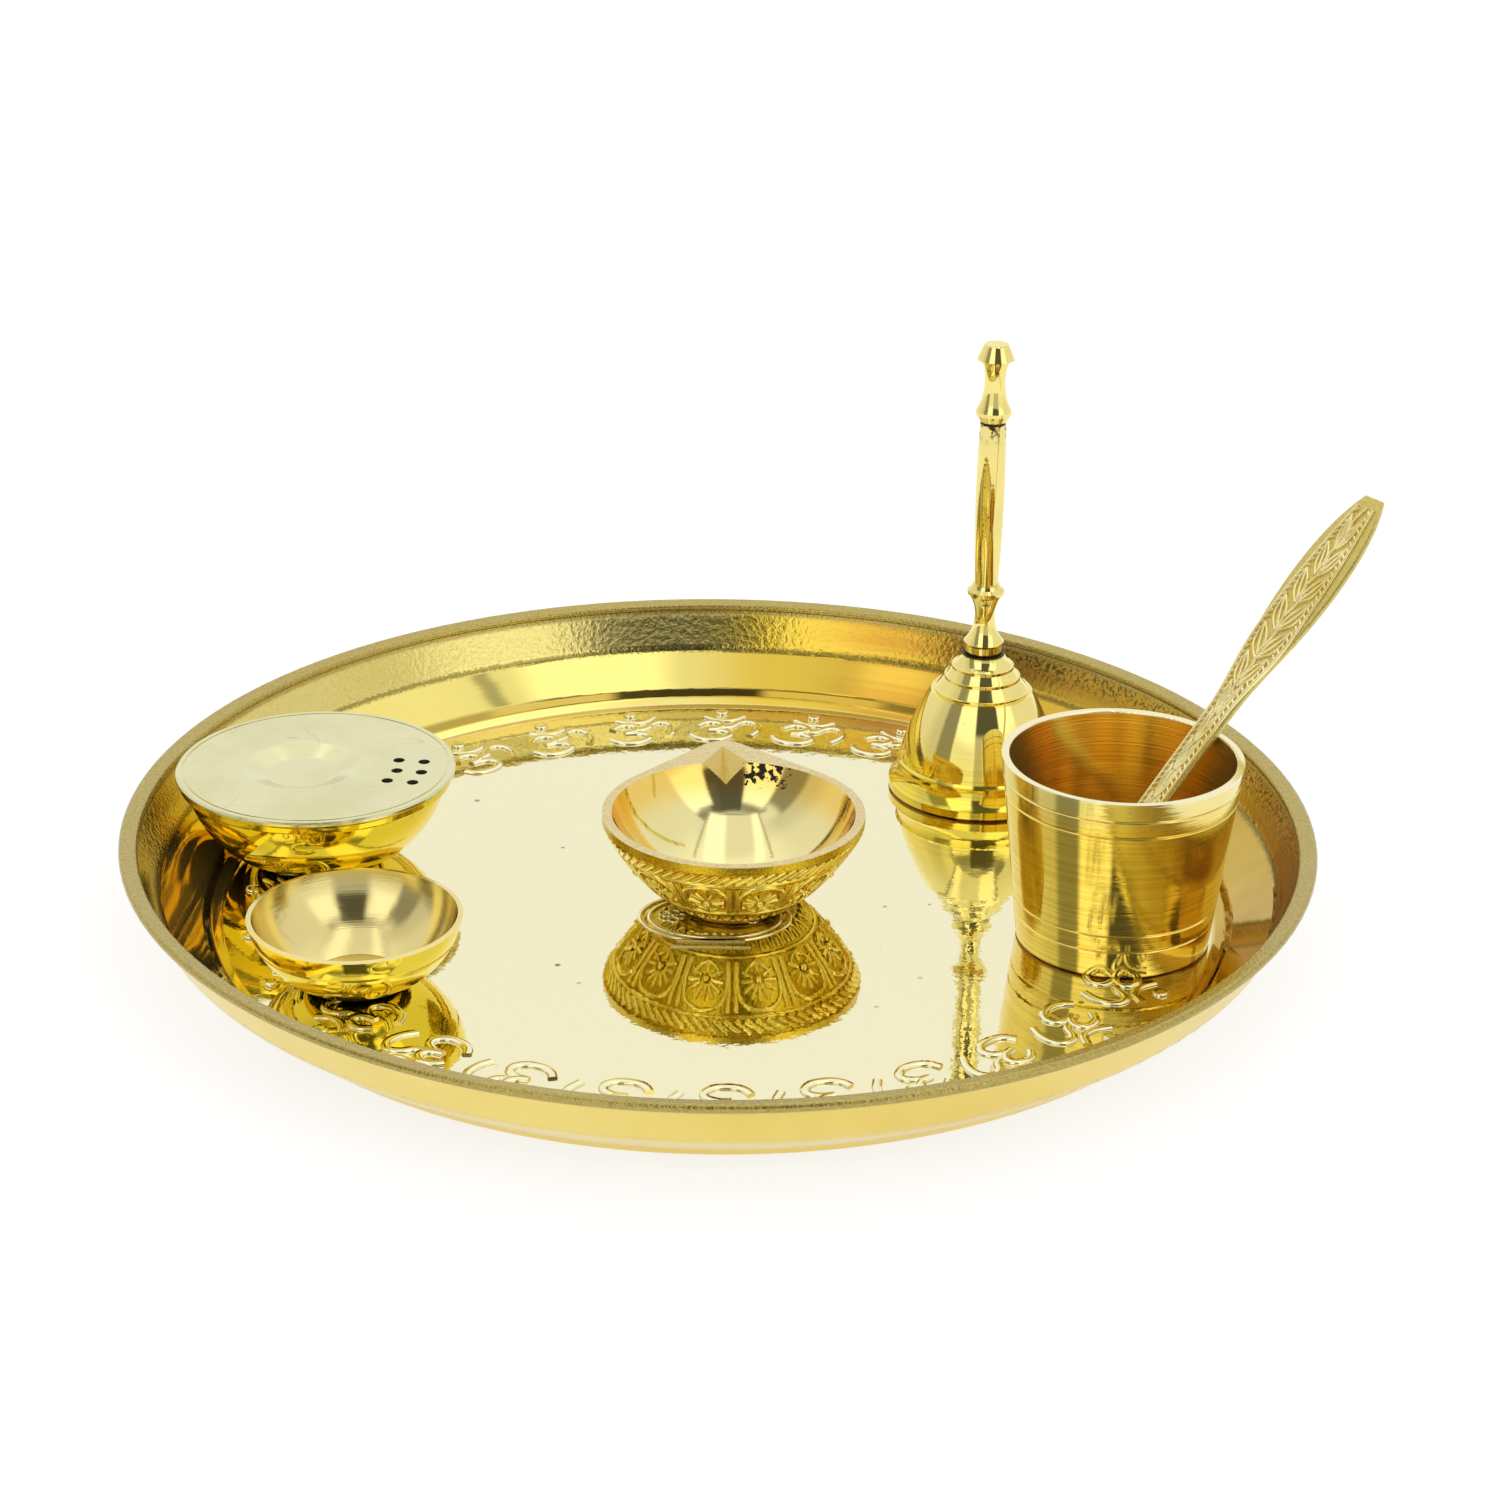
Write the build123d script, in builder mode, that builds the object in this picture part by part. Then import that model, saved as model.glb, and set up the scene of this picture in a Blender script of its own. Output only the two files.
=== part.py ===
"""Puja thali: a brass worship tray with its incense holder, katori, diya, hand bell, water cup and spoon.

Millimetres, Z up. The tray stands on Z = 0 with its centre on the Z axis, and its front is towards -Y.
"""
import os
from math import acos, asin, cos, degrees, radians, sin, sqrt, tan

from build123d import *

# Fits
gap = 0.3  # air between loose pieces
bore_gap = 0.15  # air round a stud or spigot in its bore

# Thali, pressed from one sheet, with a rounded rim
thali_r = 140.0
sheet = 1.4
toe_w = 2.6
toe_h = 1.0
ring_w = 1.6
ring_h = 2.0
lower_wall_w = 10.1
lower_wall_h = 7.5
upper_wall_w = 4.8
rim_w = 4.3
rim_t = 2.0
rim_tilt = 12.0
rim_h = 22.4
rim_bite = 0.8
floor_bend = 1.2
toe_bend = 1.8
ring_bend = 3.0
wall_bend = 5.0

# Incense holder: bowl and lid
incense_angle = 168.3
incense_rim_gap = 2.5
incense_h = 22.6
incense_wall = 1.2
incense_foot_r = 12.0
incense_belly_inset = 5.2
incense_belly_h = 9.3
incense_mouth_r = 31.4
incense_lip_w = 1.4
incense_lip_h = 2.0
incense_lip_bevel = 0.4
lid_overhang = 2.2
lid_t = 1.4
lid_edge = 0.4
lid_line_inset = 1.7
lid_line_w = 0.5
lid_line_d = 0.2
skirt_t = 1.0
skirt_h = 2.2
dish_r = 15.6
dish_flat_r = 8.4
dish_depth = 2.0
dish_bend = 2.8
dish_shift = -3.5
stick_hole_r = 1.4
stick_inner_r = 20.0
stick_outer_r = 26.0
stick_pitch = 6.2
stick_angle = -8.0

# Katori
katori_rim_gap = 18.2
katori_lid_gap = 9.2
katori_r = 24.3
katori_h = 16.3
katori_wall = 1.2
katori_foot_r = 10.4
katori_belly_r = 19.2
katori_belly_h = 6.0
katori_groove_share = 0.76
katori_groove_w = 0.8
katori_groove_d = 0.3

# Diya
diya_x = 3.4
diya_y = -1.6
diya_r = 31.1
diya_h = 22.8
diya_foot_r = 13.6
diya_foot_h = 1.8
diya_foot_taper = 0.5
diya_waist_r = 15.2
diya_belly_r = 23.2
diya_belly_h = 10.0
diya_lip_h = 1.9
diya_lip_w = 0.7
diya_rim_w = 2.3
diya_floor_t = 3.6
beak_angle = 94.0
beak_reach = 44.3
beak_nose_r = 6.0
beak_h = 10.5
beak_foot_reach = 26.0
channel_start = 38.4
channel_slope = 22.0
channel_half_angle = 56.0
channel_h = 9.0
channel_len = 20.0

# Bell: cup, handle in three turned pieces, hook and clapper
bell_angle = 44.5
bell_floor_gap = 1.4
bell_mouth_r = 22.9
bell_lip_h = 2.6
bell_lip_round = 0.6
bell_lip_cove = 0.5
bell_ridge_r = 20.4
bell_ridge_h = 7.6
bell_ridge_w = 1.2
bell_ridge_d = 0.5
bell_waist_r = 17.3
bell_waist_h = 18.0
bell_shoulder_r = 12.9
bell_shoulder_h = 27.0
bell_ring_r = 12.1
bell_ring_h = 27.8
bell_step_r = 9.6
bell_step_h = 31.1
bell_crest_r = 7.9
bell_crest_h = 33.9
bell_bead_w = 0.7
bell_bead_d = 0.5
bell_collar_r = 5.3
bell_crown_h = 37.3
bell_crown_cove = 0.4
bell_mouth_wall = 1.9
bell_wall = 1.7
bell_inside_h = 26.6
bell_inside_flat_r = 5.0
handle_band_r = 4.65
handle_band_h = 2.2
handle_flare_r = 5.05
handle_flare_h = 2.9
handle_neck_r = 2.5
handle_neck_h = 9.1
handle_ring_r = 4.65
handle_ring_h = 16.2
handle_ring_w = 2.4
handle_ring_d = 0.8
handle_ring_flat = 0.9
handle_base_h = 18.2
handle_seat_r = 3.4
shaft_foot_r = 2.9
shaft_grip_r = 3.55
shaft_head_r = 3.2
shaft_len = 42.9
spigot_r = 1.7
spigot_len = 5.0
finial_len = 19.4
finial_seat_r = 3.5
finial_collar_r = 4.4
finial_collar_h = 2.5
finial_collar_w = 0.9
finial_neck_r = 2.7
finial_neck_h = 7.8
finial_knob_r = 4.6
finial_knob_h = 15.6
finial_undercut = 1.2
finial_undercut_h = 0.5
finial_top_r = 3.1
finial_top_bevel = 0.3
stud_r = 2.0
stud_bite = 5.5
hook_flange_r = 4.4
hook_flange_t = 1.2
lug_t = 2.4
lug_r = 3.0
eye_r = 1.7
eye_drop = 2.8
ring_r = 2.9
wire_r = 0.8
clapper_rod_r = 1.1
clapper_ball_r = 4.2
clapper_len = 15.8

# Water cup and spoon
cup_angle = -12.0
cup_floor_gap = 0.85
cup_base_r = 22.4
cup_mouth_r = 27.7
cup_h = 46.0
cup_wall = 1.8
cup_base_t = 2.0
cup_foot_w = 3.6
cup_foot_h = 0.7
cup_edge = 0.4
cup_foot_bevel = 0.6
cup_inner_bend = 2.0
cup_groove_w = 0.6
cup_upper_groove = 4.6
cup_lower_groove = 7.3
cup_groove_pitch = 4.1
spoon_seat_angle = 33.0
spoon_bowl_x = -8.2
spoon_bowl_y = -5.2
spoon_bowl_r = 7.5
spoon_bowl_wall = 1.0
spoon_len = 118.0
spoon_t = 1.6
spoon_stem_w = 7.4
spoon_leaf_w = 13.1
spoon_tip_w = 5.6
spoon_tip_slope = 0.55
spoon_leaf_len = 63.0
spoon_leaf_taper = 40.0
spoon_edge = 0.4

# Levels and places that follow from the sizes above
floor_top = sheet
rim_r = thali_r - rim_w / 2
wall_end_r = thali_r - rim_w + rim_bite
floor_r = wall_end_r - upper_wall_w - lower_wall_w - ring_w - toe_w


def around_tray(angle, distance):
    """Point in plan at an angle from +X and a distance from the tray's centre."""
    return distance * cos(radians(angle)), distance * sin(radians(angle))


def level(height):
    """Height above the tray's floor, as a height above the ground."""
    return floor_top + height


def turning_plane(centre):
    """Vertical plane through an upright axis: local X is the radius, local Y the height."""
    return Plane(origin=(centre[0], centre[1], 0), x_dir=(1, 0, 0), z_dir=(0, -1, 0))


def upright(centre):
    """Upright axis through a point in plan."""
    return Axis((centre[0], centre[1], 0), (0, 0, 1))


lid_r = incense_mouth_r + lid_overhang
incense_d = thali_r - rim_w - lid_r - incense_rim_gap
incense_at = around_tray(incense_angle, incense_d)
katori_d = thali_r - rim_w - katori_r - katori_rim_gap
katori_spread = incense_d**2 + katori_d**2 - (lid_r + katori_r + katori_lid_gap) ** 2
katori_angle = incense_angle + degrees(acos(katori_spread / (2 * incense_d * katori_d)))
katori_at = around_tray(katori_angle, katori_d)
diya_at = (diya_x, diya_y)
bell_at = around_tray(bell_angle, floor_r - bell_mouth_r - bell_floor_gap)
cup_at = around_tray(cup_angle, floor_r - cup_base_r - cup_floor_gap)

# Thali
toe_end = (floor_r + toe_w, floor_top + toe_h)
ring_end = (toe_end[0] + ring_w, toe_end[1] + ring_h)
wall_middle = (ring_end[0] + lower_wall_w, ring_end[1] + lower_wall_h)
wall_end = (wall_end_r, rim_h)
with BuildPart() as thali:
    with BuildSketch(Plane.XZ):
        with BuildLine():
            FilletPolyline(
                (0, floor_top),
                (floor_r, floor_top),
                toe_end,
                ring_end,
                wall_middle,
                wall_end,
                radius=(floor_bend, toe_bend, ring_bend, wall_bend),
            )
            offset(amount=sheet, side=Side.RIGHT)
        make_face()
        with Locations((rim_r, rim_h)):
            SlotOverall(rim_w, rim_t, rotation=rim_tilt)
    revolve(axis=Axis.Z)
thali.part.label = "thali"

# Incense bowl
incense_top = floor_top + incense_h
incense_lip_z = incense_top - incense_lip_h
with BuildPart() as incense_bowl:
    with BuildSketch(turning_plane(incense_at)):
        with BuildLine():
            Line((0, floor_top), (incense_foot_r, floor_top))
            ThreePointArc(
                (incense_foot_r, floor_top),
                (incense_mouth_r - incense_belly_inset, floor_top + incense_belly_h),
                (incense_mouth_r, incense_lip_z),
            )
            Line((incense_mouth_r, incense_lip_z), (incense_mouth_r, incense_top))
            offset(amount=incense_wall, side=Side.LEFT)
        make_face()
        with Locations((incense_mouth_r, incense_lip_z)):
            Rectangle(incense_lip_w, incense_lip_h, align=(Align.MIN, Align.MIN))
    revolve(axis=upright(incense_at))
    lip_edges = incense_bowl.edges().filter_by_position(Axis.Z, incense_lip_z, incense_top)
    chamfer(lip_edges.filter_by(GeomType.CIRCLE).sort_by(SortBy.RADIUS)[-2:], incense_lip_bevel)
incense_bowl.part.label = "incense_bowl"

# Incense lid
lid_top = incense_top + lid_t
skirt_r = incense_mouth_r - incense_wall - gap
dish_at = (incense_at[0] + dish_shift, incense_at[1])
stick_holes = []
for row_r in (stick_inner_r, stick_outer_r):
    for step in (-1, 0, 1):
        turn = radians(stick_angle) + step * stick_pitch / row_r
        stick_holes.append((incense_at[0] + row_r * cos(turn), incense_at[1] + row_r * sin(turn), lid_top))
with BuildPart() as incense_lid:
    with BuildSketch(turning_plane(incense_at)):
        with Locations((0, incense_top)):
            Rectangle(lid_r, lid_t, align=(Align.MIN, Align.MIN))
        with Locations((skirt_r, incense_top)):
            Rectangle(skirt_t, skirt_h, align=(Align.MAX, Align.MAX))
        with Locations((lid_r - lid_line_inset, lid_top)):
            Rectangle(lid_line_w, 2 * lid_line_d, mode=Mode.SUBTRACT)
    revolve(axis=upright(incense_at))
    chamfer(incense_lid.edges().filter_by(GeomType.CIRCLE).sort_by(SortBy.RADIUS)[-2:], lid_edge)
    with BuildSketch(Plane.XY.offset(lid_top)):
        with Locations(dish_at):
            Circle(dish_r)
    extrude(amount=-lid_t, mode=Mode.SUBTRACT)
    with BuildSketch(turning_plane(dish_at)):
        with BuildLine():
            FilletPolyline(
                (0, lid_top - dish_depth),
                (dish_flat_r, lid_top - dish_depth),
                (dish_r - lid_t, lid_top),
                (dish_r + lid_t, lid_top),
                radius=(dish_bend, dish_bend),
            )
            offset(amount=lid_t, side=Side.RIGHT)
        make_face()
    revolve(axis=upright(dish_at))
    with Locations(*stick_holes):
        Hole(stick_hole_r, depth=2 * lid_t)
incense_lid.part.label = "incense_lid"

# Katori
with BuildPart() as katori:
    with BuildSketch(turning_plane(katori_at)):
        with BuildLine():
            Line((0, floor_top), (katori_foot_r, floor_top))
            katori_side = ThreePointArc(
                (katori_foot_r, floor_top),
                (katori_belly_r, floor_top + katori_belly_h),
                (katori_r, floor_top + katori_h),
            )
            offset(amount=katori_wall, side=Side.LEFT)
        make_face()
        with Locations(katori_side @ katori_groove_share):
            groove_turn = katori_side.tangent_angle_at(katori_groove_share)
            Rectangle(katori_groove_w, 2 * katori_groove_d, rotation=groove_turn, mode=Mode.SUBTRACT)
    revolve(axis=upright(katori_at))
katori.part.label = "katori"

# Diya: turned bowl, cast beak and the wick channel cut into its top
diya_top = floor_top + diya_h
diya_lip_z = diya_top - diya_lip_h
beak_dir = (cos(radians(beak_angle)), sin(radians(beak_angle)), 0)
beak_half_angle = asin(diya_r / beak_reach)


def beak_outline(sketch, reach, nose_r):
    """Pointed outline from the diya's middle, with straight sides and a round nose, along local X."""
    root_x = reach * sin(beak_half_angle) ** 2
    root_y = (reach - root_x) * tan(beak_half_angle)
    Polygon((0, -root_y), (root_x, -root_y), (reach, 0), (root_x, root_y), (0, root_y), align=None)
    fillet(sketch.vertices().sort_by(Axis.X)[-1], nose_r)


def beak_plane(height):
    """Level plane over the diya's middle, with local X along the beak."""
    return Plane(origin=(diya_x, diya_y, height), x_dir=beak_dir, z_dir=(0, 0, 1))


channel_dir = Vector(*beak_dir) * -cos(radians(channel_slope)) - Vector(0, 0, sin(radians(channel_slope)))
channel_at = Vector(diya_x, diya_y, diya_top) + Vector(*beak_dir) * channel_start
channel_w = channel_h * tan(radians(channel_half_angle))
with BuildPart() as diya:
    with BuildSketch(turning_plane(diya_at)):
        with BuildLine():
            Polyline(
                (0, diya_top),
                (0, floor_top),
                (diya_foot_r, floor_top),
                (diya_foot_r - diya_foot_taper, floor_top + diya_foot_h),
                (diya_waist_r, floor_top + diya_foot_h),
            )
            ThreePointArc(
                (diya_waist_r, floor_top + diya_foot_h),
                (diya_belly_r, floor_top + diya_belly_h),
                (diya_r - diya_lip_w, diya_lip_z),
            )
            Polyline(
                (diya_r - diya_lip_w, diya_lip_z),
                (diya_r, diya_lip_z),
                (diya_r, diya_top),
                (0, diya_top),
            )
        make_face()
    revolve(axis=upright(diya_at))
    with BuildSketch(beak_plane(diya_lip_z)) as beak_lip:
        beak_outline(beak_lip, beak_reach, beak_nose_r)
    extrude(amount=diya_lip_h)
    with BuildSketch(beak_plane(diya_lip_z)) as beak_head:
        beak_outline(beak_head, beak_reach - 2 * diya_lip_w, beak_nose_r)
    with BuildSketch(beak_plane(diya_top - beak_h)) as beak_foot:
        beak_outline(beak_foot, beak_foot_reach, beak_nose_r)
    loft()
    with BuildSketch(turning_plane(diya_at)):
        with BuildLine():
            TangentArc((0, floor_top + diya_floor_t), (diya_r - diya_rim_w, diya_top), tangent=(1, 0))
            Polyline((diya_r - diya_rim_w, diya_top), (0, diya_top), (0, floor_top + diya_floor_t))
        make_face()
    revolve(axis=upright(diya_at), mode=Mode.SUBTRACT)
    channel_side = Vector(*beak_dir).cross(Vector(0, 0, 1))
    with BuildSketch(Plane(origin=channel_at, x_dir=channel_side, z_dir=channel_dir)):
        with BuildLine():
            Polyline((0, 0), (channel_w, channel_h), (-channel_w, channel_h), close=True)
        make_face()
    extrude(amount=channel_len, mode=Mode.SUBTRACT)
diya.part.label = "diya"

# Bell cup
bell_seat = level(bell_crown_h)
bell_inside = level(bell_inside_h)
ridge_foot = (bell_ridge_r, level(bell_ridge_h))
ridge_head = (bell_ridge_r, level(bell_ridge_h + bell_ridge_w))
ridge_crest = (bell_ridge_r + bell_ridge_d, level(bell_ridge_h + bell_ridge_w / 2))
lip_edge = (bell_mouth_r, level(bell_lip_h))
crown_steps = ((bell_ring_r, bell_ring_h), (bell_step_r, bell_step_h), (bell_crest_r, bell_crest_h))
crown_beads = []
for bead_r, bead_h in crown_steps:
    crown_beads.append((bead_r, level(bead_h - bell_bead_w)))
    crown_beads.append((bead_r, level(bead_h)))
    crown_beads.append((bead_r - bell_bead_d, level(bead_h)))
crest_r, crest_z = crown_beads[-1]
crown_middle = ((crest_r + bell_collar_r) / 2 - bell_crown_cove, (crest_z + bell_seat) / 2)
with BuildPart() as bell_cup:
    with BuildSketch(turning_plane(bell_at)):
        with BuildLine():
            Polyline(
                (0, bell_seat),
                (0, floor_top),
                (bell_mouth_r - bell_lip_round, floor_top),
                (bell_mouth_r, level(bell_lip_round)),
                lip_edge,
            )
            ThreePointArc(
                lip_edge,
                ((bell_mouth_r + bell_ridge_r) / 2 - bell_lip_cove, level((bell_lip_h + bell_ridge_h) / 2)),
                ridge_foot,
            )
            Polyline(ridge_foot, ridge_crest, ridge_head)
            ThreePointArc(
                ridge_head,
                (bell_waist_r, level(bell_waist_h)),
                (bell_shoulder_r, level(bell_shoulder_h)),
            )
            Polyline((bell_shoulder_r, level(bell_shoulder_h)), *crown_beads)
            ThreePointArc((crest_r, crest_z), crown_middle, (bell_collar_r, bell_seat))
            Line((bell_collar_r, bell_seat), (0, bell_seat))
        make_face()
    revolve(axis=upright(bell_at))
    with BuildSketch(turning_plane(bell_at)):
        with BuildLine():
            Polyline(
                (0, bell_inside),
                (0, floor_top),
                (bell_mouth_r - bell_mouth_wall, floor_top),
                (bell_ridge_r - bell_wall, level(bell_ridge_h)),
            )
            ThreePointArc(
                (bell_ridge_r - bell_wall, level(bell_ridge_h)),
                (bell_waist_r - bell_wall, level(bell_waist_h)),
                (bell_shoulder_r - bell_wall, bell_inside - bell_wall),
            )
            Polyline(
                (bell_shoulder_r - bell_wall, bell_inside - bell_wall),
                (bell_inside_flat_r, bell_inside),
                (0, bell_inside),
            )
        make_face()
    revolve(axis=upright(bell_at), mode=Mode.SUBTRACT)
    with Locations((bell_at[0], bell_at[1], bell_seat)):
        Hole(stud_r + bore_gap, depth=bell_crown_h - bell_inside_h)
bell_cup.part.label = "bell_cup"

# Clapper hook: a flange under the crown, its stud up into the handle, and an eye for the clapper's ring
flange_z = bell_inside - hook_flange_t
eye_z = flange_z - eye_drop
with BuildPart() as clapper_hook:
    with BuildSketch(turning_plane(bell_at)):
        with Locations((0, flange_z)):
            Rectangle(hook_flange_r, hook_flange_t, align=(Align.MIN, Align.MIN))
            Rectangle(stud_r, bell_seat + stud_bite - flange_z, align=(Align.MIN, Align.MIN))
    revolve(axis=upright(bell_at))
    with BuildSketch(Plane(origin=(*bell_at, eye_z), x_dir=(0, 1, 0), z_dir=(1, 0, 0))):
        Circle(lug_r)
        Rectangle(2 * lug_r, eye_drop, align=(Align.CENTER, Align.MIN))
        Circle(eye_r, mode=Mode.SUBTRACT)
    extrude(amount=lug_t / 2, both=True)
clapper_hook.part.label = "clapper_hook"

# Clapper: ring, rod and ball, hanging in the eye
ring_sag = ring_r - sqrt(ring_r**2 - (lug_t / 2) ** 2)
hinge_z = eye_z - (eye_r - wire_r - gap - ring_sag)
wire_z = hinge_z - ring_r
ball_z = hinge_z - clapper_len
with BuildPart() as clapper:
    with Locations((*bell_at, ball_z)):
        Sphere(clapper_ball_r)
        Cylinder(clapper_rod_r, wire_z - ring_r - ball_z, align=(Align.CENTER, Align.CENTER, Align.MIN))
    with Locations(Location((*bell_at, wire_z), (90, 0, 0))):
        Torus(ring_r, wire_r)
clapper.part.label = "clapper"

# Bell handle: base, shaft and finial, each turned
base_top = bell_seat + handle_base_h
with BuildPart() as bell_handle_base:
    with BuildSketch(turning_plane(bell_at)):
        ring_z = bell_seat + handle_ring_h
        ring_under = (handle_ring_r - handle_ring_d, ring_z - handle_ring_w / 2)
        with BuildLine():
            Polyline(
                (0, base_top),
                (0, bell_seat),
                (handle_band_r, bell_seat),
                (handle_band_r, bell_seat + handle_band_h),
                (handle_flare_r, bell_seat + handle_flare_h),
            )
            ThreePointArc(
                (handle_flare_r, bell_seat + handle_flare_h),
                (handle_neck_r, bell_seat + handle_neck_h),
                ring_under,
            )
            Polyline(
                ring_under,
                (handle_ring_r, ring_z - handle_ring_flat / 2),
                (handle_ring_r, ring_z + handle_ring_flat / 2),
                (handle_ring_r - handle_ring_d, ring_z + handle_ring_w / 2),
                (handle_seat_r, base_top),
                (0, base_top),
            )
        make_face()
    revolve(axis=upright(bell_at))
    with Locations((*bell_at, base_top)):
        Hole(spigot_r + bore_gap, depth=spigot_len + gap)
    with Locations(Location((*bell_at, bell_seat), (180, 0, 0))):
        Hole(stud_r + bore_gap, depth=stud_bite + gap)
bell_handle_base.part.label = "bell_handle_base"

shaft_top = base_top + shaft_len
with BuildPart() as bell_handle_shaft:
    with BuildSketch(turning_plane(bell_at)):
        with BuildLine():
            Polyline(
                (0, shaft_top + spigot_len),
                (0, base_top - spigot_len),
                (spigot_r, base_top - spigot_len),
                (spigot_r, base_top),
                (shaft_foot_r, base_top),
            )
            ThreePointArc(
                (shaft_foot_r, base_top),
                (shaft_grip_r, base_top + shaft_len / 2),
                (shaft_head_r, shaft_top),
            )
            Polyline(
                (shaft_head_r, shaft_top),
                (spigot_r, shaft_top),
                (spigot_r, shaft_top + spigot_len),
                (0, shaft_top + spigot_len),
            )
        make_face()
    revolve(axis=upright(bell_at))
bell_handle_shaft.part.label = "bell_handle_shaft"

finial_top = shaft_top + finial_len
with BuildPart() as bell_handle_finial:
    with BuildSketch(turning_plane(bell_at)):
        collar_over = (finial_collar_r, shaft_top + finial_collar_h)
        knob_edge = (finial_knob_r, shaft_top + finial_knob_h)
        knob_under = (finial_knob_r - finial_undercut, shaft_top + finial_knob_h - finial_undercut_h)
        with BuildLine():
            Polyline(
                (0, finial_top),
                (0, shaft_top),
                (finial_seat_r, shaft_top),
                (finial_collar_r, shaft_top + finial_collar_h - finial_collar_w),
                collar_over,
            )
            ThreePointArc(collar_over, (finial_neck_r, shaft_top + finial_neck_h), knob_under)
            Polyline(
                knob_under,
                knob_edge,
                (finial_top_r, finial_top - finial_top_bevel),
                (finial_top_r - finial_top_bevel, finial_top),
                (0, finial_top),
            )
        make_face()
    revolve(axis=upright(bell_at))
    with Locations(Location((*bell_at, shaft_top), (180, 0, 0))):
        Hole(spigot_r + bore_gap, depth=spigot_len + gap)
bell_handle_finial.part.label = "bell_handle_finial"

# Water cup
cup_top = level(cup_h)
with BuildPart() as cup:
    with BuildSketch(turning_plane(cup_at)):
        with BuildLine():
            cup_side = Line((cup_base_r, floor_top), (cup_mouth_r, cup_top))
            inner_foot = cup_side @ (cup_base_t / cup_h) - Vector(cup_wall, 0)
            FilletPolyline(
                (cup_mouth_r, cup_top),
                (cup_mouth_r - cup_wall, cup_top),
                inner_foot,
                (0, level(cup_base_t)),
                radius=(cup_edge, cup_inner_bend),
            )
            Polyline((0, level(cup_base_t)), (0, floor_top), (cup_base_r, floor_top))
        make_face()
        with Locations((0, floor_top)):
            Rectangle(cup_base_r - cup_foot_w, cup_foot_h, align=(Align.MIN, Align.MIN), mode=Mode.SUBTRACT)
        for height in (cup_lower_groove, cup_h - cup_upper_groove - cup_groove_pitch):
            for groove_h in (height, height + cup_groove_pitch):
                with Locations(cup_side @ (groove_h / cup_h)):
                    Rectangle(cup_groove_w, cup_groove_w, rotation=45, mode=Mode.SUBTRACT)
    revolve(axis=upright(cup_at))
    foot_edges = cup.edges().filter_by(GeomType.CIRCLE).group_by(Axis.Z)[0]
    chamfer(foot_edges.sort_by(SortBy.RADIUS)[-1], cup_foot_bevel)
cup.part.label = "cup"

# Spoon: its bowl on the floor of the cup and the back of its handle on the cup's rim
seat_r = cup_mouth_r - cup_wall
seat_turn = radians(spoon_seat_angle)
spoon_seat = Vector(cup_at[0] + seat_r * cos(seat_turn), cup_at[1] + seat_r * sin(seat_turn), cup_top)
spoon_foot = Vector(cup_at[0] + spoon_bowl_x, cup_at[1] + spoon_bowl_y, level(cup_base_t + spoon_bowl_r))
spoon_dir = (spoon_seat - spoon_foot).normalized()
spoon_across = Vector(0, 0, 1).cross(spoon_dir).normalized()
spoon_face = spoon_dir.cross(spoon_across)
spoon_at = spoon_foot + spoon_face * (gap + spoon_t / 2)
spoon_axis = Axis(spoon_at, spoon_face)
bowl_plane = Plane(origin=spoon_at, x_dir=spoon_dir, z_dir=spoon_dir.cross(spoon_face))
hollow_r = spoon_bowl_r - spoon_bowl_wall
leaf_start = spoon_len - spoon_leaf_len
leaf_mid = spoon_len - spoon_leaf_taper
with BuildPart() as spoon:
    with BuildSketch(Plane(origin=spoon_at, x_dir=spoon_dir, z_dir=spoon_face)):
        with BuildLine():
            Polyline((0, 0), (0, spoon_stem_w / 2), (leaf_start, spoon_stem_w / 2))
            Spline(
                (leaf_start, spoon_stem_w / 2),
                (leaf_mid, spoon_leaf_w / 2),
                (spoon_len, spoon_tip_w / 2),
                tangents=((1, 0), (1, -spoon_tip_slope)),
            )
            Polyline((spoon_len, spoon_tip_w / 2), (spoon_len, 0), (0, 0))
        make_face()
        mirror(about=Plane.XZ)
    extrude(amount=spoon_t / 2, both=True)
    spoon_sides = spoon.faces().sort_by(spoon_axis)
    chamfer(spoon_sides[0].edges() + spoon_sides[-1].edges(), spoon_edge)
    with BuildSketch(bowl_plane):
        Circle(spoon_bowl_r)
        Rectangle(2 * spoon_bowl_r, 2 * spoon_bowl_r, align=(Align.MAX, Align.CENTER), mode=Mode.SUBTRACT)
        Rectangle(2 * spoon_bowl_r, 2 * spoon_bowl_r, align=(Align.CENTER, Align.MIN), mode=Mode.SUBTRACT)
    revolve(axis=spoon_axis)
    with BuildSketch(bowl_plane):
        Circle(hollow_r)
        Rectangle(hollow_r, spoon_t, align=(Align.MIN, Align.MIN))
        Rectangle(2 * spoon_bowl_r, 2 * spoon_bowl_r, align=(Align.MAX, Align.CENTER), mode=Mode.SUBTRACT)
    revolve(axis=spoon_axis, mode=Mode.SUBTRACT)
spoon.part.label = "spoon"

os.makedirs("parts", exist_ok=True)
pieces = (
    thali, incense_bowl, incense_lid, katori, diya, bell_cup, clapper_hook, clapper,
    bell_handle_base, bell_handle_shaft, bell_handle_finial, cup, spoon,
)
for piece in pieces:
    export_step(piece.part, f"parts/{piece.part.label}.step")
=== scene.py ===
import math

import bmesh
import bpy
from mathutils import Matrix, Vector
from mathutils.bvhtree import BVHTree


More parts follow.
